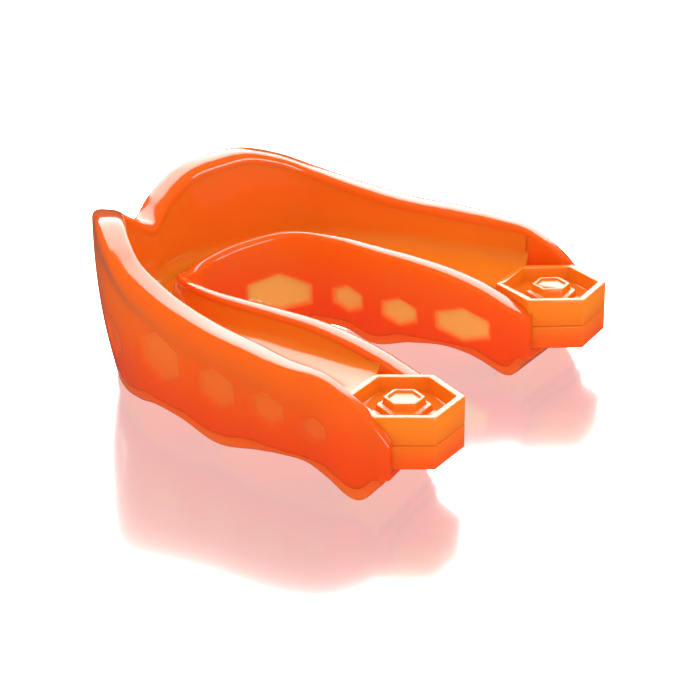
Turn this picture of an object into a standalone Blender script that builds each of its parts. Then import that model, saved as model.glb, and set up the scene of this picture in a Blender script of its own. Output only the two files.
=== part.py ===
"""Boil-and-bite mouthguard: a moulded frame with hexagonal windows over a soft core and liner.

+X is the wearer's side on the left of the arch, -Y is the front of the mouth and +Z is up, towards the gums.
The origin is the middle of the footprint, on the surface that the guard stands on. Lengths are in millimetres
until the points are made.
"""

from collections import namedtuple
from math import atan2, cos, pi, radians, sin

import bmesh
import bpy
from mathutils import Matrix, Vector

MM = 0.001
GAP = 0.3  # clearance between pieces that touch
SHIFT_Y = -0.68  # from the arch's own zero to the middle of the footprint

# The arch from the midline at the front to the rear end of one arm. Each station pairs a point on the outer
# rim with one on the inner rim; both are x, y, z. The last two numbers are the trough floor and the underside.
ARCH = [
    ((0.0, -29.7, 18.2), (0.0, -19.8, 12.4), 9.6, 0.0),
    ((5.0, -30.0, 20.4), (3.2, -19.1, 13.2), 9.7, 0.0),
    ((10.0, -28.8, 23.0), (6.3, -17.2, 14.2), 9.8, 0.0),
    ((14.0, -26.1, 24.2), (8.9, -14.8, 15.0), 9.9, 0.0),
    ((17.3, -22.6, 24.6), (10.9, -12.3, 15.6), 10.1, 0.0),
    ((20.2, -18.0, 23.4), (12.2, -9.6, 15.8), 10.5, 0.8),
    ((22.4, -13.2, 21.4), (12.8, -6.8, 15.8), 10.8, 1.9),
    ((24.4, -7.0, 19.4), (13.1, -3.0, 15.7), 11.1, 1.9),
    ((25.9, -0.4, 18.0), (13.0, 1.8, 15.4), 11.2, 0.6),
    ((27.5, 6.6, 17.3), (13.0, 7.2, 15.0), 10.9, 2.0),
    ((28.6, 12.6, 16.6), (13.4, 12.8, 14.1), 10.7, 2.8),
    ((28.9, 17.6, 15.9), (13.7, 17.6, 12.8), 10.6, 1.6),
    ((28.8, 22.3, 13.4), (13.8, 22.1, 11.0), 10.5, 0.0),
    ((28.5, 25.1, 10.9), (13.9, 24.3, 10.2), 9.8, 2.2),
    ((27.9, 26.6, 8.6), (14.1, 25.5, 9.6), 8.4, 3.9),
]
STEPS = 2  # sections to each station
FRONT_END = 4.0  # station where the flat front sole ends
ARM_START = 8.0  # station from which the arm has its straight profile
SEAT_START = 11.0  # station where the solid seat under the end tab begins
SEAT_MARGIN = 0.15  # the core and the liner end this many stations before it
SEAT_STEP = 0.02

PAD_END = 13.3  # station where the bite pad ends, under the tab
CORNER_START = 3.0  # the rolled rim moves outwards from here to CORNER_END, round the front corner
CORNER_END = 6.0
TAIL_START = 9.0  # the rolled rim narrows from here to TAIL_END, where the tab stands beside it
TAIL_END = 12.0

EDGE_FRONT = 0.0  # outer edge of the rolled rim, inwards from the rim curve: front, arms, beside the tab
EDGE_ARM = -2.4
EDGE_TAB = -1.2
BEAD_HALF_FRONT = 2.1  # half the width of the rolled rim
BEAD_HALF_ARM = 1.8
BEAD_FALL_FRONT = 1.9  # how far its round falls
BEAD_FALL_ARM = 1.4
BEAD_END = 0.9  # half its width, and its fall, beside the tab
BEAD_FLAT = 0.55  # below 1, the roll is flatter and squarer than an ellipse
LEAN_FRONT = 2.9  # how far the outer wall draws in from rim to underside: front, arms, beside the tab
LEAN_ARM = 1.5
LEAN_TAB = 0.3
LEAN_POWER = 2.4
FLARE = 1.65  # how far the arms' wall flares out to the rolled rim, and over what height
FLARE_DROP = 6.0
INNER_RIM_FLAT = 0.8
INNER_RIM_FRONT = 0.9  # half the width of the inner rim at the front, and at the rear of the arms
INNER_RIM_REAR = 1.7
INNER_FALL = 0.9
INNER_LEAN = 0.9  # how far the inner wall draws in from rim to underside
INNER_SLOPE = 0.25  # the trough's inner side leans by this much for its first INNER_SLOPE_DROP
INNER_SLOPE_DROP = 4.0

PAD_T = 1.9  # bite pad under the frame
PAD_TOP = 3.6  # the pad's top stays under this below the tab
PAD_ROUND_OUT = 1.0
PAD_ROUND_IN = 1.5
PLATE_T = 1.3  # bottom plate of the frame
WALL_OUT_T = 1.1  # outer wall of the frame
WALL_IN_T = 0.9  # inner wall of the frame
SEAT_LOW = 0.3  # the seat's floor stays at least this far under both rims
SEAT_LEDGE = 0.1
CHANNEL_CORNER = (0.2, 0.1)  # chamfer between the channel's floor and its walls, across and up
LEDGE = 1.0  # drop of the ledges under both rims that the liner tucks under
LEDGE_GAP = 0.45  # clearance under a ledge, measured upright
LINER_FLOOR_T = 1.8
LINER_ROUND_OUT = 1.6  # rounds between the liner's floor and its sides; the inner one is wide and low
LINER_ROUND_IN = (5.0, 1.7)
CORE_MARGIN = 0.3

# Hexagonal windows in the outer wall: where they are along Y, their height, and their width and height.
OUTER_WINDOWS = [
    (-21.7, 8.8, 5.6, 6.4),
    (-9.7, 10.4, 8.2, 8.0),
    (0.5, 9.3, 6.9, 6.6),
    (9.1, 9.2, 5.8, 5.5),
    (16.1, 8.4, 3.6, 3.4),
]
# The same in the inner wall. The foremost pair lets breath through under the front teeth.
INNER_WINDOWS = [
    (-13.0, 6.4, 7.0, 4.9),
    (-2.3, 6.9, 4.6, 3.4),
    (6.2, 6.9, 5.0, 3.6),
    (15.9, 6.6, 7.6, 4.4),
]
WINDOW_DEPTH = 2.6

TAB_X = 21.35  # end tab: a hexagonal cup with a hexagonal stud in it
TAB_Y = 24.7 + SHIFT_Y
TAB_TOP = 11.7
TAB_H = 7.0
TAB_R = 7.56
TAB_YAW = radians(1.4)
TAB_SEAM = 3.8  # depth of the parting line between cap and base
TAB_RIM = 0.8
TAB_RECESS = 2.0
STUD_BASE_R = 3.6
STUD_TOP_R = 2.65
STUD_H = 1.9
DIMPLE_R = 1.3
DIMPLE_DEPTH = 0.35

Station = namedtuple("Station", "t outer inner along width rim_z inner_z floor_z under_z")


def clear_scene():
    for obj in list(bpy.data.objects):
        bpy.data.objects.remove(obj, do_unlink=True)


def make_collection(name):
    collection = bpy.data.collections.new(name)
    bpy.context.scene.collection.children.link(collection)
    return collection


def make_material(name, colour, roughness):
    material = bpy.data.materials.new(name)
    material.use_nodes = True
    shader = material.node_tree.nodes["Principled BSDF"]
    shader.inputs["Base Color"].default_value = (*colour, 1.0)
    shader.inputs["Roughness"].default_value = roughness
    shader.inputs["Metallic"].default_value = 0.0
    return material


def flat_row(row):
    outer, inner, floor_z, under_z = row
    return [*outer, *inner, floor_z, under_z]


def mirrored_row(row):
    values = flat_row(row)
    values[0] = -values[0]
    values[3] = -values[3]
    return values


def station_at(t):
    """The arch at station number t, on a smooth curve through the stations."""
    i = min(int(t), len(ARCH) - 2)
    f = t - i
    before = mirrored_row(ARCH[1]) if i == 0 else flat_row(ARCH[i - 1])
    a = flat_row(ARCH[i])
    b = flat_row(ARCH[i + 1])
    after = flat_row(ARCH[i + 2]) if i + 2 < len(ARCH) else [2 * q - p for p, q in zip(a, b)]
    values = []
    for p0, p1, p2, p3 in zip(before, a, b, after):
        bend = (2 * p0 - 5 * p1 + 4 * p2 - p3) * f * f + (3 * p1 - p0 - 3 * p2 + p3) * f**3
        values.append(0.5 * (2 * p1 + (p2 - p0) * f + bend))
    outer = Vector(values[0:2])
    inner = Vector(values[3:5])
    along = (inner - outer).normalized()
    width = (inner - outer).length
    return Station(t, outer, inner, along, width, values[2], values[5], values[6], max(0.0, values[7]))


def blend(t, start, end, first, last):
    f = min(1.0, max(0.0, (t - start) / (end - start)))
    return first + (last - first) * f * f * (3 - 2 * f)


def front_to_arm(s, front, arm):
    return blend(s.t, CORNER_START, CORNER_END, front, arm)


def bead_half(s):
    return blend(s.t, TAIL_START, TAIL_END, front_to_arm(s, BEAD_HALF_FRONT, BEAD_HALF_ARM), BEAD_END)


def bead_low(s):
    """Height at which the rolled rim begins."""
    fall = front_to_arm(s, BEAD_FALL_FRONT, BEAD_FALL_ARM)
    return s.rim_z - blend(s.t, TAIL_START, TAIL_END, fall, BEAD_END)


def bead_edge(s):
    return blend(s.t, TAIL_START + 0.5, TAIL_END - 0.5, front_to_arm(s, EDGE_FRONT, EDGE_ARM), EDGE_TAB)


def bead_middle(s):
    return bead_edge(s) + bead_half(s)


def drawn_in(s, z, top, lean, power):
    """How far a wall that draws in by lean at its foot has drawn in at height z."""
    rise = min(1.0, max(0.0, (z - s.under_z) / (top - s.under_z)))
    return lean * (1 - rise) ** power


def outer_face(s, z):
    """How far in from the rim curve the outer wall's face is at height z."""
    lean = blend(s.t, FRONT_END, ARM_START, LEAN_FRONT, LEAN_ARM)
    lean = blend(s.t, TAIL_START + 1, TAIL_END + 0.5, lean, LEAN_TAB)
    flare = front_to_arm(s, 0, 1) * blend(s.t, TAIL_START + 1, TAIL_END - 0.2, FLARE, 0)
    flare = blend(bead_low(s) - z, 0, FLARE_DROP, 0, flare)
    return bead_edge(s) + drawn_in(s, z, s.rim_z, lean, LEAN_POWER) + flare


def inner_half(s):
    return blend(s.t, FRONT_END, TAIL_END, INNER_RIM_FRONT, INNER_RIM_REAR)


def inner_low(s):
    """Height at which the inner rim begins."""
    return s.inner_z - INNER_FALL


def inner_face(s, z):
    """The face of the inner wall that is towards the tongue."""
    return s.width + inner_half(s) - drawn_in(s, z, s.inner_z, INNER_LEAN, LEAN_POWER)


def trough_outer(s):
    return bead_middle(s) + bead_half(s)


def trough_inner(s, z):
    return s.width - inner_half(s) - INNER_SLOPE * min(INNER_SLOPE_DROP, max(0.0, inner_low(s) - z))


def pad_top(s):
    """Height of the pad's top. It may rise with the underside along the arm, but not under the tab."""
    highest = blend(s.t, SEAT_START, TAIL_END, s.under_z + PAD_T, PAD_TOP)
    return min(s.under_z + PAD_T, highest)


def heights(low, high, count):
    return [low + (high - low) * k / (count - 1) for k in range(count)]


def rim_arc(middle, half, low, high, count, flat):
    """A flattened half round over a rim, from the outer side to the inner side."""
    arc = []
    for angle in heights(0, pi, count):
        across = abs(cos(angle)) ** flat * (1 if angle > pi / 2 else -1)
        arc.append((middle + half * across, low + (high - low) * max(0.0, sin(angle)) ** flat))
    return arc


def pad_section(s):
    low, high = s.under_z, pad_top(s)
    round_out = min(PAD_ROUND_OUT, 0.8 * (high - low))
    round_in = min(PAD_ROUND_IN, 0.8 * (high - low))
    out_low, in_low = outer_face(s, low), inner_face(s, low)
    return [
        (outer_face(s, high), high),
        (outer_face(s, low + round_out), low + round_out),
        (out_low + 0.3 * round_out, low + 0.3 * round_out),
        (out_low + round_out, low),
        (in_low - round_in, low),
        (in_low - 0.3 * round_in, low + 0.3 * round_in),
        (inner_face(s, low + round_in), low + round_in),
        (inner_face(s, high), high),
    ]


def frame_section(s):
    """The frame's channel. From SEAT_START on, it is solid up to the trough floor, as a seat for the tab."""
    low = pad_top(s) + GAP
    solid = s.t >= SEAT_START
    ledge = SEAT_LEDGE if solid else LEDGE
    corner_in, corner_up = CHANNEL_CORNER
    out_top = min(s.floor_z, bead_low(s) - SEAT_LOW) if solid else low + PLATE_T
    in_top = min(s.floor_z, inner_low(s) - SEAT_LOW) if solid else low + PLATE_T
    points = [(outer_face(s, z), z) for z in heights(low, bead_low(s), 8)]
    points += rim_arc(bead_middle(s), bead_half(s), bead_low(s), s.rim_z, 11, BEAD_FLAT)[1:]
    for z in heights(bead_low(s) - ledge, out_top + corner_up, 4):
        points.append((trough_outer(s) if solid else outer_face(s, z) + WALL_OUT_T, z))
    out_corner = trough_outer(s) if solid else outer_face(s, out_top) + WALL_OUT_T
    in_corner = trough_inner(s, in_top) if solid else inner_face(s, in_top) - WALL_IN_T
    points.append((out_corner + corner_in, out_top))
    points.append((in_corner - corner_in, in_top))
    for z in heights(in_top + corner_up, inner_low(s) - ledge, 3):
        points.append((trough_inner(s, z) if solid else inner_face(s, z) - WALL_IN_T, z))
    points += rim_arc(s.width, inner_half(s), inner_low(s), s.inner_z, 7, INNER_RIM_FLAT)
    points += [(inner_face(s, z), z) for z in heights(inner_low(s), low, 6)[1:]]
    return points


def core_section(s):
    low = pad_top(s) + GAP + PLATE_T + GAP
    high = s.floor_z - LINER_FLOOR_T - GAP
    margin = GAP + CORE_MARGIN
    return [
        (outer_face(s, high) + WALL_OUT_T + margin, high),
        (outer_face(s, low) + WALL_OUT_T + margin, low),
        (inner_face(s, low) - WALL_IN_T - margin, low),
        (inner_face(s, high) - WALL_IN_T - margin, high),
    ]


def liner_section(s):
    low = s.floor_z - LINER_FLOOR_T
    floor_z = s.floor_z
    out_side = trough_outer(s)
    top_out = bead_low(s) - LEDGE - LEDGE_GAP
    top_in = inner_low(s) - LEDGE_GAP
    wide, tall = LINER_ROUND_IN
    in_side = trough_inner(s, floor_z + tall)
    points = [(outer_face(s, z) + WALL_OUT_T + GAP, z) for z in heights(low, top_out, 6)]
    points += [(out_side, z) for z in heights(bead_low(s) - LEDGE_GAP, floor_z + LINER_ROUND_OUT, 4)]
    points.append((out_side + 0.3 * LINER_ROUND_OUT, floor_z + 0.3 * LINER_ROUND_OUT))
    points.append((out_side + LINER_ROUND_OUT, floor_z))
    for angle in heights(0, pi / 2, 5)[:-1]:
        points.append((in_side - wide * (1 - sin(angle)), floor_z + tall * (1 - cos(angle))))
    points += [(trough_inner(s, z), z) for z in heights(floor_z + tall, top_in, 2)]
    points += [(inner_face(s, z) - WALL_IN_T - GAP, z) for z in heights(top_in - LEDGE, low, 4)]
    return points


def place(s, section):
    """A section's points in space, in metres: the first number runs across the arm and the second is up."""
    points = []
    for u, z in section:
        spot = s.outer + s.along * u
        points.append(Vector((spot.x, spot.y + SHIFT_Y, z)) * MM)
    return points


def loft(name, section, stops, material):
    """Lofts a section along one half of the arch and mirrors it. The half is open at the midline."""
    bm = bmesh.new()
    rings = []
    for t in stops:
        s = station_at(t)
        rings.append([bm.verts.new(point) for point in place(s, section(s))])
    count = len(rings[0])
    for ring, after in zip(rings, rings[1:]):
        for k in range(count):
            n = (k + 1) % count
            bm.faces.new((ring[k], ring[n], after[n], after[k]))
    bm.faces.new(rings[-1])
    bmesh.ops.recalc_face_normals(bm, faces=bm.faces)
    obj = new_object(name, bm, material)
    mirror = obj.modifiers.new("other_arm", "MIRROR")
    mirror.use_axis = (True, False, False)
    mirror.merge_threshold = 0.00005
    return obj


def new_object(name, bm, material, collection=None):
    mesh = bpy.data.meshes.new(name)
    bm.to_mesh(mesh)
    bm.free()
    obj = bpy.data.objects.new(name, mesh)
    (collection or parts).objects.link(obj)
    if material:
        mesh.materials.append(material)
    return obj


def stops_from(first, last):
    """Stops along the arch that every piece shares, so that neighbouring walls bend at the same places."""
    return [k / STEPS for k in range(round(first * STEPS), round(last * STEPS) + 1)]


def hexagon_prism(name, radius, depth, material, collection=None):
    """Upright hexagonal prism about the origin, with its corners on the X axis."""
    bm = bmesh.new()
    bmesh.ops.create_cone(
        bm, cap_ends=True, segments=6, radius1=radius * MM, radius2=radius * MM, depth=depth * MM
    )
    bmesh.ops.rotate(bm, verts=bm.verts, cent=(0, 0, 0), matrix=Matrix.Rotation(pi / 2, 3, "Z"))
    return new_object(name, bm, material, collection)


def cut(obj, cutter):
    cutter.hide_render = True
    cutter.display_type = "WIRE"
    boolean = obj.modifiers.new(cutter.name, "BOOLEAN")
    boolean.operation = "DIFFERENCE"
    boolean.object = cutter


def station_near(y, side):
    """The station whose outer or inner point lies at y, found by halving."""
    low, high = 0.0, float(len(ARCH) - 1)
    for _ in range(30):
        middle = (low + high) / 2
        s = station_at(middle)
        if (s.outer if side == "outer" else s.inner).y < y:
            low = middle
        else:
            high = middle
    return station_at(middle)


def window_cutter(name, y, z, wide, tall, side, hand):
    """A hexagon with its points up and down, lying across the wall at y."""
    s = station_near(y, side)
    ahead = station_at(s.t + 0.05)
    here = s.outer if side == "outer" else s.inner
    there = ahead.outer if side == "outer" else ahead.inner
    direction = there - here
    face = outer_face(s, z) + 0.4 if side == "outer" else inner_face(s, z) - 0.2
    spot = s.outer + s.along * face
    bm = bmesh.new()
    bmesh.ops.create_cone(
        bm, cap_ends=True, segments=6, radius1=0.5 * MM, radius2=0.5 * MM, depth=WINDOW_DEPTH * MM
    )
    size = Matrix.Diagonal((wide / (2 * cos(pi / 6) * 0.5), tall, 1.0))
    bmesh.ops.transform(bm, matrix=size.to_4x4(), verts=bm.verts)
    bmesh.ops.rotate(bm, verts=bm.verts, cent=(0, 0, 0), matrix=Matrix.Rotation(pi / 2, 3, "X"))
    yaw = atan2(direction.y, direction.x)
    bmesh.ops.rotate(bm, verts=bm.verts, cent=(0, 0, 0), matrix=Matrix.Rotation(yaw, 3, "Z"))
    bmesh.ops.translate(bm, verts=bm.verts, vec=Vector((spot.x, spot.y + SHIFT_Y, z)) * MM)
    if hand < 0:
        bmesh.ops.scale(bm, verts=bm.verts, vec=(-1, 1, 1))
    bmesh.ops.recalc_face_normals(bm, faces=bm.faces)
    return new_object(name, bm, None, cutters)


def make_tab_base(name, hand):
    depth = TAB_H - TAB_SEAM - GAP / 2
    obj = hexagon_prism(name, TAB_R, depth, frame_orange)
    obj.location = Vector((hand * TAB_X, TAB_Y, TAB_TOP - TAB_H + depth / 2)) * MM
    obj.rotation_euler.z = -hand * TAB_YAW
    return obj


def make_tab_cap(name, hand):
    """The cup: the top face is inset and pushed in for the recess, then drawn back up for the stud."""
    depth = TAB_SEAM - GAP / 2
    obj = hexagon_prism(name, TAB_R, depth, frame_orange)
    bm = bmesh.new()
    bm.from_mesh(obj.data)
    bm.faces.ensure_lookup_table()
    face = max(bm.faces, key=lambda f: f.calc_center_median().z)
    middle = cos(pi / 6)
    steps = [
        (TAB_RIM, 0.0),
        (0.0, -TAB_RECESS),
        ((TAB_R - STUD_BASE_R) * middle - TAB_RIM, 0.0),
        (0.0, STUD_H * 0.45),
        ((STUD_BASE_R - STUD_TOP_R) * middle, 0.0),
        (0.0, STUD_H * 0.55),
        ((STUD_TOP_R - DIMPLE_R) * middle, 0.0),
        (0.0, -DIMPLE_DEPTH),
    ]
    for inward, lift in steps:
        if inward:
            bmesh.ops.inset_individual(bm, faces=[face], thickness=inward * MM, use_even_offset=True)
        if lift:
            extruded = bmesh.ops.extrude_discrete_faces(bm, faces=[face])
            face = extruded["faces"][0]
            bmesh.ops.translate(bm, verts=face.verts, vec=(0, 0, lift * MM))
    bmesh.ops.recalc_face_normals(bm, faces=bm.faces)
    bm.to_mesh(obj.data)
    bm.free()
    obj.location = Vector((hand * TAB_X, TAB_Y, TAB_TOP - depth / 2)) * MM
    obj.rotation_euler.z = -hand * TAB_YAW
    return obj


def tab_pocket(name, hand):
    """The hexagonal room that the tab stands in, open upwards."""
    top = 40.0
    bottom = TAB_TOP - TAB_H - GAP
    obj = hexagon_prism(name, TAB_R + GAP / cos(pi / 6), top - bottom, None, cutters)
    obj.location = Vector((hand * TAB_X, TAB_Y, (top + bottom) / 2)) * MM
    obj.rotation_euler.z = -hand * TAB_YAW
    return obj


clear_scene()
parts = make_collection("mouthguard")
cutters = make_collection("cutters")
frame_orange = make_material("frame_orange", (0.86, 0.17, 0.03), 0.16)
liner_orange = make_material("liner_orange", (0.9, 0.24, 0.04), 0.2)
core_orange = make_material("core_orange", (0.92, 0.3, 0.08), 0.35)
pad_orange = make_material("pad_orange", (0.9, 0.22, 0.06), 0.22)

channel_stops = stops_from(0, SEAT_START - 0.5) + [SEAT_START - SEAT_MARGIN]
seat_stops = stops_from(SEAT_START, len(ARCH) - 1)
pad_stops = [t for t in seat_stops if t < PAD_END] + [PAD_END]
frame_stops = channel_stops + [SEAT_START - SEAT_STEP] + seat_stops
frame = loft("outer_frame", frame_section, frame_stops, frame_orange)
loft("bite_pad", pad_section, channel_stops + pad_stops, pad_orange)
loft("arch_core", core_section, channel_stops, core_orange)
loft("gel_liner", liner_section, channel_stops, liner_orange)

for hand, side in ((1, "left"), (-1, "right")):
    for number, (y, z, wide, tall) in enumerate(OUTER_WINDOWS):
        cut(frame, window_cutter(f"outer_window_{side}_{number}", y, z, wide, tall, "outer", hand))
    for number, (y, z, wide, tall) in enumerate(INNER_WINDOWS):
        cut(frame, window_cutter(f"inner_window_{side}_{number}", y, z, wide, tall, "inner", hand))
    cut(frame, tab_pocket(f"tab_pocket_{side}", hand))
    make_tab_base(f"{side}_tab_base", hand)
    make_tab_cap(f"{side}_tab_cap", hand)
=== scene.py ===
import bmesh
import bpy
from math import cos, hypot, pi, radians, sin
from mathutils import Matrix, Vector


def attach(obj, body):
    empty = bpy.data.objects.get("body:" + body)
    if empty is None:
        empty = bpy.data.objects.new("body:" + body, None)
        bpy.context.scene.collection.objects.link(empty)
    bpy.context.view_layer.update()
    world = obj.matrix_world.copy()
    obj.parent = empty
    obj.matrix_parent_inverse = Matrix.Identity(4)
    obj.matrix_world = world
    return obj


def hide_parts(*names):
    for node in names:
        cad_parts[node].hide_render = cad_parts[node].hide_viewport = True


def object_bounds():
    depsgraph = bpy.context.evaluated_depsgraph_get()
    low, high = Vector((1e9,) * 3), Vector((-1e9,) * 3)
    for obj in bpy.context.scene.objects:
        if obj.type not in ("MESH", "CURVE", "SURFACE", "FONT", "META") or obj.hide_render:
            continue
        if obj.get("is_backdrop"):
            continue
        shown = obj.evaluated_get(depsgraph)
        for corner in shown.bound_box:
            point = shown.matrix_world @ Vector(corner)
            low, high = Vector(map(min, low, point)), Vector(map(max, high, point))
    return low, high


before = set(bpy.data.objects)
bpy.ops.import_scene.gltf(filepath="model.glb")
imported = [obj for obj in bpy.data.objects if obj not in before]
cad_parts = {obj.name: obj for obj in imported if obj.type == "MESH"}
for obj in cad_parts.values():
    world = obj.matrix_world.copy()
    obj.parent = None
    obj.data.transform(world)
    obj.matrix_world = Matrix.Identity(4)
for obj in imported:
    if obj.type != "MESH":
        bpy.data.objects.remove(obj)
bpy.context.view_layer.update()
mm = 0.001
creaseAngle = radians(32)

arch = {  # stations from the midline at the front to the rear end of one arm, in mm
    "outerX": [0.0, 5.0, 10.0, 14.0, 17.3, 20.2, 22.4, 24.4, 25.9, 27.5, 28.6, 28.9, 28.8, 28.5, 27.9],
    "outerY": [-30.4, -30.7, -29.5, -26.8, -23.3, -18.7, -13.9, -7.7, -1.1, 5.9, 11.9, 16.9, 21.6, 24.4, 25.9],
    "outerZ": [18.2, 20.4, 23.0, 24.2, 24.6, 23.4, 21.4, 19.4, 18.0, 17.3, 16.6, 15.9, 13.4, 10.9, 8.6],
    "innerX": [0.0, 3.2, 6.3, 8.9, 10.9, 12.2, 12.8, 13.1, 13.0, 13.0, 13.4, 13.7, 13.8, 13.9, 14.1],
    "innerY": [-20.5, -19.8, -17.9, -15.5, -13.0, -10.3, -7.5, -3.7, 1.1, 6.5, 12.1, 16.9, 21.4, 23.6, 24.8],
    "innerZ": [12.4, 13.2, 14.2, 15.0, 15.6, 15.8, 15.8, 15.7, 15.4, 15.0, 14.1, 12.8, 11.0, 10.2, 9.6],
    "floorZ": [9.6, 9.7, 9.8, 9.9, 10.1, 10.5, 10.8, 11.1, 11.2, 10.9, 10.7, 10.6, 10.5, 9.8, 8.4],
    "underZ": [0.0, 0.0, 0.0, 0.0, 0.0, 0.8, 1.9, 1.9, 0.6, 2.0, 2.8, 1.6, 0.0, 2.2, 3.9],
    "seatStart": 11.0,  # station where the trough ends and the tab's seat begins
    "seatGap": 0.02,  # part of a station in which its floor rises
    "padEnd": 13.2,
    "end": 14.0,
    "ringsPerStation": 14,
    "weld": 0.02,  # distance within which the mirrored halves join
}

spans = {  # stretches of stations over which the section changes
    "corner": (3.0, 6.0),  # rolled rim, from the front's to the arm's
    "bend": (4.0, 8.0),  # lean of the outer wall, from the front's to the arm's
    "inner": (4.0, 12.0),  # inner rim, from the front's to the arm's
    "rimEnd": (9.0, 12.0),  # rolled rim, down to its size beside the end tab
    "edgeEnd": (9.5, 11.5),  # its outer edge
    "leanEnd": (10.0, 12.5),  # lean of the outer wall beside the end tab
    "flareEnd": (10.0, 11.8),  # flare, down to none
}

wall = {  # the moulded frame, in mm; pairs are for the front and the arms
    "edge": (0.0, -2.4),  # outer edge of the rolled rim, inwards from the rim curve
    "edgeEnd": -1.2,  # the same beside the end tab
    "beadHalf": (2.1, 1.8),  # half the width of the rolled rim
    "beadFall": (1.9, 1.4),  # how far its round falls
    "beadFlat": 0.55,  # below 1, the roll is flatter and squarer than an ellipse
    "beadEnd": 0.9,  # half its width, and its fall, beside the end tab
    "lean": (2.9, 1.5),  # how far the outer wall draws in from rim to underside
    "leanEnd": 0.3,
    "leanPower": 2.4,  # above 1, it draws in mostly near the underside
    "flare": 1.65,  # how far the arms' wall flares out to the rolled rim
    "flareDrop": 6.0,  # over what height
    "innerHalf": (0.9, 1.7),  # half the width of the inner rim
    "innerFall": 0.9,
    "innerFlat": 0.8,
    "innerLean": 0.9,
    "innerDraft": 0.25,  # how much the trough narrows below the inner rim, per mm
    "innerDraftDrop": 4.0,
    "outerThick": 1.1,
    "innerThick": 0.9,
    "plate": 1.3,
    "underRim": 0.3,  # least drop from a rim to the seat
    "fillet": (0.2, 0.1),  # width and height of the small slope where a wall meets the floor
    "outerRows": 44,
    "innerRows": 28,
    "beadRows": 20,
    "backRows": (4, 3),
}

window = {  # y, z, width, height and depth, in mm
    "outer": [(-22.4, 8.8, 5.6, 6.4, 0.3), (-10.4, 10.4, 8.2, 8.0, 0.7), (-0.2, 9.3, 6.9, 6.6, 0.7),
              (8.4, 9.2, 5.8, 5.5, 0.6), (15.4, 8.2, 4.4, 4.2, 0.6)],
    "inner": [(-13.2, 6.8, 9.4, 6.0, 0.7), (-3.0, 7.2, 5.1, 4.3, 0.6), (5.5, 7.0, 5.6, 4.4, 0.6),
              (15.2, 6.9, 8.4, 5.3, 0.6)],
    "slope": 0.8,  # width of the sloping edge
    "slopeStart": -0.15,  # it starts this far outside the outline
    "ahead": 0.1,  # part of a station over which the wall's direction is taken
    "through": (0.2, 1.5),  # painted light: how much light the outer and the inner ones are painted as letting through, per mm of depth
}

pad = {  # the sole under the frame, in mm
    "thick": 1.9,
    "highest": 3.6,
    "rounds": (0.9, 1.5),  # edge radius, outer and inner
    "roundShare": (0.8, 0.9),  # most that they take of its height
    "gap": 0.02,
    "proud": 0.05,
    "rows": (4, 6),  # points along a side and round an edge
    "turnStart": 0.2,  # where an edge round starts or ends, in radians
}

liner = {  # the soft lining of the trough, in mm
    "floorThick": 1.8,
    "step": 1.0,  # depth below the rims at which it tucks in behind them
    "overlap": 0.15,
    "reach": 0.1,  # part of a station by which it runs into the seat
    "outRound": (2.2, 2.0),  # width and height of the round between wall and floor
    "inRound": (5.0, 1.7),
    "turnStart": (0.2, 0.15),
    "outRows": (10, 14, 7),  # points up the back, down the face and round the corner
    "inRows": (10, 8, 8),
}

tab = {  # hexagonal end tab, in mm
    "x": 21.35,
    "y": 24.02,
    "top": 11.7,
    "height": 7.0,
    "radius": 7.56,
    "yaw": 1.4,
    "seam": 3.8,
    "rim": 1.0,
    "recess": 2.0,
    "studBase": 3.6,
    "studTop": 2.65,
    "studHeight": 1.9,
    "studShare": 0.45,  # share of the height at the step in the stud
    "recessDraft": 0.12,
    "studDraft": 0.1,
    "studRim": 0.5,
    "dimpleDepth": 0.35,
    "part": 0.02,  # half the opening of the parting line
    "clear": 0.12,
    "clearTop": 40,  # how high its seat is cleared
    "bevels": (0.14, 0.16),  # base and cap
}


def curveThrough(values, t, mirrored=False):
    i = min(int(t), len(values) - 2)
    f = t - i
    a, b = values[i], values[i + 1]
    before = values[i - 1] if i else (-b if mirrored else b)
    after = values[i + 2] if i + 2 < len(values) else 2 * b - a
    bend = (2 * before - 5 * a + 4 * b - after) * f * f + (3 * a - before - 3 * b + after) * f**3
    return 0.5 * (2 * a + (b - before) * f + bend)


def ease(value, start, end, first, last):
    f = min(1.0, max(0.0, (value - start) / (end - start)))
    return first + (last - first) * f * f * (3 - 2 * f)


def change(t, span, first, last):
    return ease(t, *spans[span], first, last)


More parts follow.
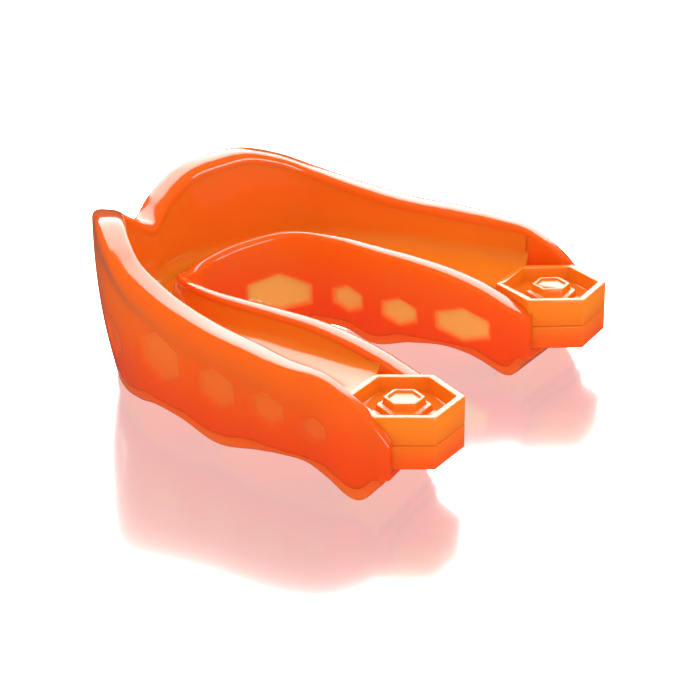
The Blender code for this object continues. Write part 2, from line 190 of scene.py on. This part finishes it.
class Station:  # one place along the arch
    def __init__(self, t):
        self.t = t
        self.outer = Vector((curveThrough(arch["outerX"], t, True), curveThrough(arch["outerY"], t)))
        self.inner = Vector((curveThrough(arch["innerX"], t, True), curveThrough(arch["innerY"], t)))
        self.across = (self.inner - self.outer).normalized()
        self.width = (self.inner - self.outer).length
        self.outerZ = curveThrough(arch["outerZ"], t)
        self.innerZ = curveThrough(arch["innerZ"], t)
        self.floorZ = curveThrough(arch["floorZ"], t)
        self.underZ = max(0.0, curveThrough(arch["underZ"], t))
        self.beadHalf = change(t, "corner", *wall["beadHalf"])
        self.beadHalf = change(t, "rimEnd", self.beadHalf, wall["beadEnd"])
        self.beadFall = change(t, "corner", *wall["beadFall"])
        self.beadFall = change(t, "rimEnd", self.beadFall, wall["beadEnd"])
        self.edge = change(t, "corner", *wall["edge"])
        self.edge = change(t, "edgeEnd", self.edge, wall["edgeEnd"])
        self.beadMiddle = self.edge + self.beadHalf
        self.lean = change(t, "bend", *wall["lean"])
        self.lean = change(t, "leanEnd", self.lean, wall["leanEnd"])
        self.flare = change(t, "corner", 0.0, 1.0) * change(t, "flareEnd", wall["flare"], 0.0)
        self.half = change(t, "inner", *wall["innerHalf"])
        self.padTop = min(self.underZ + pad["thick"], pad["highest"])
        self.beadLow = self.outerZ - self.beadFall
        self.innerLow = self.innerZ - wall["innerFall"]

    def outerFace(self, z):
        rise = min(1.0, max(0.0, (z - self.underZ) / (self.outerZ - self.underZ)))
        flare = ease(self.beadLow - z, 0.0, wall["flareDrop"], 0.0, self.flare)
        return self.edge + self.lean * (1 - rise) ** wall["leanPower"] + flare

    def innerFace(self, z):
        rise = min(1.0, max(0.0, (z - self.underZ) / (self.innerZ - self.underZ)))
        return self.width + self.half - wall["innerLean"] * (1 - rise) ** wall["leanPower"]

    def troughOuter(self):
        return self.beadMiddle + self.beadHalf

    def troughInner(self, z):
        drop = min(wall["innerDraftDrop"], max(0.0, self.innerLow - z))
        return self.width - self.half - wall["innerDraft"] * drop

    def spot(self, u, z):
        place = self.outer + self.across * u
        return Vector((place.x, place.y, z))


def heights(low, high, count):
    return [low + (high - low) * k / (count - 1) for k in range(count)]


def halfRound(middle, half, low, high, flat):  # flat below 1 gives a broader top than an ellipse has
    points = []
    for turn in heights(0.0, pi, wall["beadRows"]):
        x, y = cos(turn), max(0.0, sin(turn))
        points.append((middle - half * abs(x) ** flat * (1 if x > 0 else -1), low + (high - low) * y ** flat))
    return points


def hexagonInside(x, y, wide, tall):  # how far a point lies inside a hexagon that stands on a corner
    side = wide / 2 - abs(x)
    end = (tall * wide / 4 - abs(y) * wide / 2 - abs(x) * tall / 4) / hypot(wide / 2, tall / 4)
    return min(side, end)


def stationAtY(y, side):
    low, high = 0.0, arch["end"]
    for _ in range(24):  # halves the stretch each time
        middle = (low + high) / 2
        if getattr(Station(middle), side).y < y:
            low = middle
        else:
            high = middle
    return Station(middle)


def windowPlaces(side):  # middle, direction along the wall and size of each window
    places = []
    for y, z, wide, tall, depth in window[side]:
        here = stationAtY(y, side)
        ahead = Station(here.t + window["ahead"])
        face = "outerFace" if side == "outer" else "innerFace"
        middle = here.spot(getattr(here, face)(z), z)
        along = ahead.spot(getattr(ahead, face)(z), z) - middle
        places.append((middle, along.normalized(), wide, tall, depth))
    return places


def windowDepth(places, spot):
    deepest = 0.0
    for middle, along, wide, tall, depth in places:
        offset = spot - middle
        if offset.length < wide:
            inside = hexagonInside(offset.dot(along), offset.z, wide, tall)
            deepest = max(deepest, ease(inside, window["slopeStart"], window["slope"], 0.0, depth))
    return deepest


def frameSection(s):  # across the arm and up, in mm
    low = s.padTop + pad["gap"]
    plateTop = low + wall["plate"]
    wide, tall = wall["fillet"]
    solid = s.t >= arch["seatStart"]
    outTop = min(s.floorZ, s.beadLow - wall["underRim"]) if solid else plateTop
    inTop = min(s.floorZ, s.innerLow - wall["underRim"]) if solid else plateTop
    step = tall if solid else liner["step"]

    def outBack(z):
        return s.troughOuter() if solid else s.outerFace(z) + wall["outerThick"]

    def inBack(z):
        return s.troughInner(z) if solid else s.innerFace(z) - wall["innerThick"]

    points = []
    for z in heights(low, s.beadLow, wall["outerRows"]):
        u = s.outerFace(z)
        points.append((u + windowDepth(outerPlaces, s.spot(u, z)), z))
    points += halfRound(s.beadMiddle, s.beadHalf, s.beadLow, s.outerZ, wall["beadFlat"])[1:]
    points += [(outBack(z), z) for z in heights(s.beadLow - step, outTop + tall, wall["backRows"][0])]
    points.append((outBack(outTop) + wide, outTop))
    points.append((inBack(inTop) - wide, inTop))
    points += [(inBack(z), z) for z in heights(inTop + tall, s.innerLow - step, wall["backRows"][1])]
    points += halfRound(s.width, s.half, s.innerLow, s.innerZ, wall["innerFlat"])
    for z in heights(s.innerLow, low, wall["innerRows"])[1:]:
        u = s.innerFace(z)
        points.append((u - windowDepth(innerPlaces, s.spot(u, z)), z))
    return points


def linerSection(s):
    low = s.floorZ - liner["floorThick"]
    outBack, outFace, outCorner = liner["outRows"]
    inCorner, inFace, inBack = liner["inRows"]
    outSkip, inSkip = liner["turnStart"]
    outWide, outHigh = liner["outRound"]
    inWide, inHigh = liner["inRound"]
    outTuck = wall["outerThick"] - liner["overlap"]
    inTuck = wall["innerThick"] - liner["overlap"]
    near = s.troughInner(s.floorZ + inHigh)
    points = [(s.outerFace(z) + outTuck, z) for z in heights(low, s.beadLow - liner["step"], outBack)]
    points += [(s.troughOuter(), z) for z in heights(s.beadLow, s.floorZ + outHigh, outFace)]
    points += [(s.troughOuter() + outWide * (1 - cos(turn)), s.floorZ + outHigh * (1 - sin(turn)))
               for turn in heights(outSkip, pi / 2, outCorner)]
    points += [(near - inWide * (1 - sin(turn)), s.floorZ + inHigh * (1 - cos(turn)))
               for turn in heights(0.0, pi / 2 - inSkip, inCorner)]
    points += [(s.troughInner(z), z) for z in heights(s.floorZ + inHigh, s.innerLow, inFace)]
    points += [(s.innerFace(z) - inTuck, z) for z in heights(s.innerLow - liner["step"], low, inBack)]
    return points


def padSection(s):
    low, high = s.underZ, s.padTop
    out = pad["proud"]
    sideRows, edgeRows = pad["rows"]
    tall = high - low
    outRound, inRound = (min(most, share * tall) for most, share in zip(pad["rounds"], pad["roundShare"]))
    points = [(s.outerFace(z) - out, z) for z in heights(high, low + outRound, sideRows)]
    for turn in heights(pad["turnStart"], pi / 2, edgeRows):
        z = low + outRound * (1 - sin(turn))
        points.append((s.outerFace(z) - out + outRound * (1 - cos(turn)), z))
    for turn in heights(0.0, pi / 2 - pad["turnStart"], edgeRows):
        z = low + inRound * (1 - cos(turn))
        points.append((s.innerFace(z) + out - inRound * (1 - sin(turn)), z))
    points += [(s.innerFace(z) + out, z) for z in heights(low + inRound, high, sideRows)]
    return points


def newPiece(name, bm):
    for face in bm.faces:
        face.smooth = True
    mesh = bpy.data.meshes.new(name)
    bm.to_mesh(mesh)
    bm.free()
    mesh.set_sharp_from_angle(angle=creaseAngle)
    piece = bpy.data.objects.new(name, mesh)
    bpy.context.scene.collection.objects.link(piece)
    return piece


def sweepArch(name, section, stops):  # draws a closed loop along one arm, caps its end and mirrors it
    bm = bmesh.new()
    count = len(section(Station(stops[0])))
    loop = bmesh.ops.create_circle(bm, segments=count, radius=mm)["verts"]
    for stop in stops:
        station = Station(stop)
        if stop > stops[0]:
            edges = [bm.edges.get((a, b)) for a, b in zip(loop, loop[1:] + loop[:1])]
            grown = set(bmesh.ops.extrude_edge_only(bm, edges=edges)["geom"])
            loop = [next(e.other_vert(v) for e in v.link_edges if e.other_vert(v) in grown) for v in loop]
        for vert, (u, z) in zip(loop, section(station)):
            vert.co = station.spot(u, z) * mm
    end = [bm.edges.get((a, b)) for a, b in zip(loop, loop[1:] + loop[:1])]
    bmesh.ops.triangle_fill(bm, edges=end, use_beauty=True)
    bmesh.ops.recalc_face_normals(bm, faces=bm.faces)
    geometry = bm.verts[:] + bm.edges[:] + bm.faces[:]
    bmesh.ops.mirror(bm, geom=geometry, axis="X", merge_dist=arch["weld"] * mm)
    bmesh.ops.recalc_face_normals(bm, faces=bm.faces)
    return newPiece(name, bm)


def markPaintedThroughLight(mesh):  # painted light: how much light the wall is painted as letting through, from the depth of the windows
    layer = mesh.attributes.new("paintedThroughLight", "FLOAT", "POINT")
    outer, inner = window["through"]
    for vert, value in zip(mesh.vertices, layer.data):
        spot = Vector((abs(vert.co.x), vert.co.y, vert.co.z)) / mm
        value.value = outer * windowDepth(outerPlaces, spot) + inner * windowDepth(innerPlaces, spot)


def hexagonPrism(bm, radius, low, high, hand):
    made = bmesh.ops.create_cone(bm, cap_ends=True, segments=6, radius1=radius * mm, radius2=radius * mm,
                                 depth=(high - low) * mm)["verts"]
    bmesh.ops.rotate(bm, verts=made, matrix=Matrix.Rotation(pi / 2 - hand * radians(tab["yaw"]), 3, "Z"))
    bmesh.ops.translate(bm, verts=made, vec=Vector((hand * tab["x"], tab["y"], (low + high) / 2)) * mm)


def carve(piece, bm):
    cutter = newPiece("cutter", bm)
    boolean = piece.modifiers.new("carve", "BOOLEAN")
    boolean.operation = "DIFFERENCE"
    boolean.solver = "EXACT"
    boolean.object = cutter
    shape = bpy.data.meshes.new_from_object(piece.evaluated_get(bpy.context.evaluated_depsgraph_get()))
    piece.modifiers.clear()
    piece.data = shape
    bpy.data.objects.remove(cutter)
    shape.set_sharp_from_angle(angle=creaseAngle)


def stopsBetween(first, last):
    count = round((last - first) * arch["ringsPerStation"])
    return [first + (last - first) * k / count for k in range(count + 1)]


def softenEdges(bm, width):
    bmesh.ops.bevel(bm, geom=bm.edges[:], offset=width * mm, offset_type="OFFSET", affect="EDGES", segments=4,
                    profile=0.5, material=-1)


def makeTabBase(name, hand):
    bm = bmesh.new()
    hexagonPrism(bm, tab["radius"], tab["top"] - tab["height"], tab["top"] - tab["seam"] - tab["part"], hand)
    softenEdges(bm, tab["bevels"][0])
    return newPiece(name, bm)


def makeTabCap(name, hand):  # the top face is set in and pushed down for the recess, then drawn up for the stud
    bm = bmesh.new()
    hexagonPrism(bm, tab["radius"], tab["top"] - tab["seam"] + tab["part"], tab["top"], hand)
    face = max(bm.faces, key=lambda f: f.calc_center_median().z)
    middle = cos(pi / 6)
    recessDraft, studDraft, share = tab["recessDraft"], tab["studDraft"], tab["studShare"]
    steps = [  # inwards and up
        (tab["rim"], 0.0),
        (recessDraft, -tab["recess"]),
        ((tab["radius"] - tab["studBase"]) * middle - tab["rim"] - recessDraft, 0.0),
        (studDraft, tab["studHeight"] * share),
        ((tab["studBase"] - tab["studTop"]) * middle - 2 * studDraft, 0.0),
        (studDraft, tab["studHeight"] * (1 - share)),
        (tab["studRim"], 0.0),
        (studDraft, -tab["dimpleDepth"]),
    ]
    for inward, lift in steps:
        bmesh.ops.inset_individual(bm, faces=[face], thickness=inward * mm, use_even_offset=True)
        if lift:
            bmesh.ops.translate(bm, verts=face.verts, vec=(0, 0, lift * mm))
    softenEdges(bm, tab["bevels"][1])
    return newPiece(name, bm)


outerPlaces = windowPlaces("outer")
innerPlaces = windowPlaces("inner")
seat = arch["seatStart"]
channelStops = stopsBetween(0.0, seat - arch["seatGap"])
seatStops = stopsBetween(seat, arch["end"])
print("sweeping the frame")
outerFrame = sweepArch("outerFrame", frameSection, channelStops + seatStops)
print("sweeping the liner and the bite pad")
gelLiner = sweepArch("gelLiner", linerSection, stopsBetween(0.0, seat + liner["reach"]))
bitePad = sweepArch("bitePad", padSection, stopsBetween(0.0, arch["padEnd"]))
print("carving the seats and making the end tabs")
seats = bmesh.new()
for hand in (1, -1):
    low = tab["top"] - tab["height"] - tab["clear"]
    hexagonPrism(seats, tab["radius"] + tab["clear"], low, tab["clearTop"], hand)
carve(outerFrame, seats)
markPaintedThroughLight(outerFrame.data)
tabs = {}
for hand, side in ((1, "left"), (-1, "right")):
    tabs[side + "_tab_base"] = makeTabBase(side + "TabBase", hand)
    tabs[side + "_tab_cap"] = makeTabCap(side + "TabCap", hand)

skin = {  # what all the rubbers share
    "clouds": 90,  # noise scales of the colour clouds, the waves and the pits
    "cloudDetail": 3,
    "waves": 260,
    "waveDetail": 2,
    "pits": 2600,
    "pitShare": 0.08,
    "cloudiness": 0.25,
    "gloss": 0.1,
    "glossSpread": 0.08,
    "bump": 0.12,
    "bumpHeight": 0.1,  # in mm
    "glow": 0.3,
    "glowDepth": 3,  # in mm
    "glowRadius": (1.0, 0.3, 0.08),
    "refraction": 1.5,
    "paintedThroughLight": (0.94, 0.42, 0.09),  # painted light: paler colour painted where light would come through
    # the windows' painted glow, as if light came through their thin walls:
    "lightFull": 0.14,  # from this much, the painted glow is at its most
    "lightMost": 0.08,
    "lightColor": (1.0, 0.12, 0.02),
}


def newGroup(name, inputs, outputs):
    group = bpy.data.node_groups.new(name, "ShaderNodeTree")
    for direction, sockets in (("INPUT", inputs), ("OUTPUT", outputs)):
        for label, kind in sockets:
            group.interface.new_socket(label, in_out=direction, socket_type=kind)
    return group, group.nodes.new("NodeGroupInput"), group.nodes.new("NodeGroupOutput")


def makeTintAndPaintedLight():  # a colour low down changing to another high up, with faint flow clouds of real tone; on the frame and the tabs the paler top is painted light, as lit from above
    group, given, result = newGroup(
        "tintAndPaintedLight",
        [("Deep", "NodeSocketColor"), ("Pale", "NodeSocketColor"), ("PaintedThroughColor", "NodeSocketColor"),
         ("Low", "NodeSocketFloat"), ("High", "NodeSocketFloat"), ("Clouds", "NodeSocketFloat")],
        [("Color", "NodeSocketColor"), ("PaintedThroughAmount", "NodeSocketFloat")])
    nodes, links = group.nodes, group.links
    place = nodes.new("ShaderNodeTexCoord")
    axes = nodes.new("ShaderNodeSeparateXYZ")
    links.new(place.outputs["Object"], axes.inputs[0])
    level = nodes.new("ShaderNodeMapRange")
    level.interpolation_type = "SMOOTHSTEP"
    links.new(axes.outputs["Z"], level.inputs["Value"])
    links.new(given.outputs["Low"], level.inputs["From Min"])
    links.new(given.outputs["High"], level.inputs["From Max"])
    clouds = nodes.new("ShaderNodeTexNoise")
    clouds.inputs["Scale"].default_value = skin["clouds"]
    clouds.inputs["Detail"].default_value = skin["cloudDetail"]
    links.new(place.outputs["Object"], clouds.inputs["Vector"])
    centred = nodes.new("ShaderNodeMath")
    centred.operation = "SUBTRACT"
    centred.inputs[1].default_value = 0.5  # the noise's middle value
    links.new(clouds.outputs["Fac"], centred.inputs[0])
    drift = nodes.new("ShaderNodeMath")
    drift.operation = "MULTIPLY_ADD"
    links.new(centred.outputs[0], drift.inputs[0])
    links.new(given.outputs["Clouds"], drift.inputs[1])
    links.new(level.outputs["Result"], drift.inputs[2])
    drift.use_clamp = True
    mix = nodes.new("ShaderNodeMix")
    mix.data_type = "RGBA"
    links.new(drift.outputs[0], mix.inputs["Factor"])
    links.new(given.outputs["Deep"], mix.inputs["A"])
    links.new(given.outputs["Pale"], mix.inputs["B"])
    # painted light: a paler colour mixed in where light would come through the windows' thin walls
    paintedThroughLight = nodes.new("ShaderNodeAttribute")
    paintedThroughLight.attribute_name = "paintedThroughLight"
    through = nodes.new("ShaderNodeMix")
    through.data_type = "RGBA"
    links.new(paintedThroughLight.outputs["Fac"], through.inputs["Factor"])
    links.new(mix.outputs["Result"], through.inputs["A"])
    links.new(given.outputs["PaintedThroughColor"], through.inputs["B"])
    links.new(through.outputs["Result"], result.inputs["Color"])
    links.new(paintedThroughLight.outputs["Fac"], result.inputs["PaintedThroughAmount"])
    return group


def makeMouldGrain():  # slight waviness and fine pitting of a moulded rubber skin
    group, given, result = newGroup(
        "mouldGrain",
        [("Gloss", "NodeSocketFloat"), ("Spread", "NodeSocketFloat")],
        [("Height", "NodeSocketFloat"), ("Roughness", "NodeSocketFloat")])
    nodes, links = group.nodes, group.links
    place = nodes.new("ShaderNodeTexCoord")
    wave = nodes.new("ShaderNodeTexNoise")
    wave.inputs["Scale"].default_value = skin["waves"]
    wave.inputs["Detail"].default_value = skin["waveDetail"]
    pits = nodes.new("ShaderNodeTexNoise")
    pits.inputs["Scale"].default_value = skin["pits"]
    for noise in (wave, pits):
        links.new(place.outputs["Object"], noise.inputs["Vector"])
    height = nodes.new("ShaderNodeMath")
    height.operation = "MULTIPLY_ADD"
    height.inputs[1].default_value = skin["pitShare"]
    links.new(pits.outputs["Fac"], height.inputs[0])
    links.new(wave.outputs["Fac"], height.inputs[2])
    links.new(height.outputs[0], result.inputs["Height"])
    rough = nodes.new("ShaderNodeMath")
    rough.operation = "MULTIPLY_ADD"
    links.new(wave.outputs["Fac"], rough.inputs[0])
    links.new(given.outputs["Spread"], rough.inputs[1])
    links.new(given.outputs["Gloss"], rough.inputs[2])
    links.new(rough.outputs[0], result.inputs["Roughness"])
    return group


tintAndPaintedLight = makeTintAndPaintedLight()
mouldGrain = makeMouldGrain()


def rubber(name, deep, pale, low, high):  # colours, and the heights in mm between which they change
    material = bpy.data.materials.new(name)
    material.use_nodes = True
    nodes, links = material.node_tree.nodes, material.node_tree.links
    shader = nodes["Principled BSDF"]
    tint = nodes.new("ShaderNodeGroup")
    tint.node_tree = tintAndPaintedLight
    tint.inputs["Deep"].default_value = (*deep, 1)
    tint.inputs["Pale"].default_value = (*pale, 1)
    tint.inputs["PaintedThroughColor"].default_value = (*skin["paintedThroughLight"], 1)
    tint.inputs["Low"].default_value = low * mm
    tint.inputs["High"].default_value = high * mm
    tint.inputs["Clouds"].default_value = skin["cloudiness"]
    links.new(tint.outputs["Color"], shader.inputs["Base Color"])
    grain = nodes.new("ShaderNodeGroup")
    grain.node_tree = mouldGrain
    grain.inputs["Gloss"].default_value = skin["gloss"]
    grain.inputs["Spread"].default_value = skin["glossSpread"]
    links.new(grain.outputs["Roughness"], shader.inputs["Roughness"])
    bump = nodes.new("ShaderNodeBump")
    bump.inputs["Strength"].default_value = skin["bump"]
    bump.inputs["Distance"].default_value = skin["bumpHeight"] * mm
    links.new(grain.outputs["Height"], bump.inputs["Height"])
    links.new(bump.outputs["Normal"], shader.inputs["Normal"])
    light = nodes.new("ShaderNodeMapRange")  # painted glow: the window's thin wall made to glow as if light came through it
    light.inputs["From Max"].default_value = skin["lightFull"]
    light.inputs["To Max"].default_value = skin["lightMost"]
    links.new(tint.outputs["PaintedThroughAmount"], light.inputs["Value"])
    links.new(light.outputs["Result"], shader.inputs["Emission Strength"])
    shader.inputs["Emission Color"].default_value = (*skin["lightColor"], 1)
    shader.inputs["Subsurface Weight"].default_value = skin["glow"]
    shader.inputs["Subsurface Radius"].default_value = skin["glowRadius"]
    shader.inputs["Subsurface Scale"].default_value = skin["glowDepth"] * mm
    shader.inputs["IOR"].default_value = skin["refraction"]
    return material


print("painting the pieces")
# painted light: the frame is paler towards the top, as lit from above
frameRubber = rubber("frameRubber", (0.93, 0.065, 0.006), (0.95, 0.135, 0.007), 3, 17)
linerGel = rubber("linerGel", (0.93, 0.22, 0.012), (0.95, 0.16, 0.012), 9, 20)
padRubber = rubber("padRubber", (0.95, 0.14, 0.02), (0.94, 0.1, 0.01), 0, 4)
# painted light: the tabs are paler towards the top, as lit from above
tabRubber = rubber("tabRubber", (0.93, 0.09, 0.008), (0.95, 0.22, 0.01), 4, 11)
coreRubber = rubber("coreRubber", (0.9, 0.24, 0.05), (0.93, 0.3, 0.08), 2, 9)

for piece, node, slot, finish in (
        (outerFrame, "outer_frame", "frame_plastic", frameRubber),
        (gelLiner, "gel_liner", "liner_gel", linerGel),
        (bitePad, "bite_pad", "pad_rubber", padRubber),
        *((made, node, "tab_plastic", tabRubber) for node, made in tabs.items())):
    piece.data.materials.clear()
    piece.data.materials.append(finish)
    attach(piece, "root")
    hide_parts(node)
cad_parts["arch_core"].data.materials.clear()
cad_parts["arch_core"].data.materials.append(coreRubber)

print("setting the stage")
stage = {
    "size": 3.0,  # half the floor's width, in metres
    "drop": 0.02,  # how far the floor lies below the guard, in mm
    "dome": 1.0,  # brightness of the white surroundings
    "domeGloss": 0.08,  # the same as reflections show it
    "floorGloss": 0.16,
    "floorMirror": 0.5,
    "floorGlow": 0.42,  # brightness of the floor in view
    "floorFill": 0.85,  # brightness with which it lights the guard
}
lamps = {  # compass and height angles, distance, width and depth in metres, brightness, only for glints or not
    "backPanel": (299, 42, 0.9, 1.2, 0.9, 7.0, True),
    "lowStrip": (151, 6, 0.9, 0.75, 0.17, 12.0, True),
    "topSoftBox": (140, 66, 0.7, 0.5, 0.5, 1.2, False),
}
view = {  # in degrees and mm
    "azimuth": 119.1,
    "elevation": 23.5,
    "distance": 330.0,
    "target": (12.3, 11.32, 11.7),
    "lens": 132.2,
    "sensor": 36,
    "clip": 10,
}

bm = bmesh.new()
bmesh.ops.create_grid(bm, x_segments=1, y_segments=1, size=stage["size"])
bmesh.ops.translate(bm, verts=bm.verts[:], vec=(0, 0, -stage["drop"] * mm))
floor = newPiece("floor", bm)
floorPaint = bpy.data.materials.new("floorPaint")
floorPaint.use_nodes = True
shader = floorPaint.node_tree.nodes["Principled BSDF"]
mirror = stage["floorMirror"]
shader.inputs["Base Color"].default_value = (mirror, mirror, mirror, 1)
shader.inputs["Metallic"].default_value = 1
shader.inputs["Roughness"].default_value = stage["floorGloss"]
shader.inputs["Emission Color"].default_value = (1, 1, 1, 1)
nodes, links = floorPaint.node_tree.nodes, floorPaint.node_tree.links
path = nodes.new("ShaderNodeLightPath")
glow = nodes.new("ShaderNodeMapRange")
glow.inputs["To Min"].default_value = stage["floorFill"]
glow.inputs["To Max"].default_value = stage["floorGlow"]
links.new(path.outputs["Is Camera Ray"], glow.inputs["Value"])
links.new(glow.outputs["Result"], shader.inputs["Emission Strength"])
floor.data.materials.append(floorPaint)
floor.visible_glossy = False  # a white floor in the gloss would bleach the walls
floor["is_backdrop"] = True

world = bpy.data.worlds.new("studio")
world.use_nodes = True
nodes, links = world.node_tree.nodes, world.node_tree.links
path = nodes.new("ShaderNodeLightPath")  # the dome fills the shadows, but hardly shows in the gloss
fill = nodes.new("ShaderNodeMapRange")
fill.inputs["To Min"].default_value = stage["dome"]
fill.inputs["To Max"].default_value = stage["domeGloss"]
links.new(path.outputs["Is Glossy Ray"], fill.inputs["Value"])
links.new(fill.outputs["Result"], nodes["Background"].inputs["Strength"])
nodes["Background"].inputs["Color"].default_value = (1, 1, 1, 1)
bpy.context.scene.world = world


def direction(compass, height):
    turn, lift = radians(compass), radians(height)
    return Vector((sin(turn) * cos(lift), -cos(turn) * cos(lift), sin(lift)))


def softBox(name, compass, height, distance, width, depth, brightness, glintOnly):
    lamp = bpy.data.lights.new(name, "AREA")
    lamp.shape = "RECTANGLE"
    lamp.size, lamp.size_y = width, depth
    lamp.energy = brightness * pi * width * depth
    away = direction(compass, height)
    holder = bpy.data.objects.new(name, lamp)
    holder.location = away * distance
    holder.rotation_euler = away.to_track_quat("Z", "Y").to_euler()
    holder.visible_diffuse = not glintOnly
    holder.visible_glossy = glintOnly
    bpy.context.scene.collection.objects.link(holder)


for name, settings in lamps.items():
    softBox(name, *settings)

back = direction(view["azimuth"], view["elevation"])
camera = bpy.data.objects.new("camera", bpy.data.cameras.new("camera"))
camera.data.lens = view["lens"]
camera.data.sensor_width = view["sensor"]
camera.data.clip_start = view["clip"] * mm
camera.location = (Vector(view["target"]) + back * view["distance"]) * mm
camera.rotation_euler = back.to_track_quat("Z", "Y").to_euler()
bpy.context.scene.collection.objects.link(camera)
bpy.context.scene.camera = camera
bpy.context.scene.view_settings.view_transform = "Standard"

low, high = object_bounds()
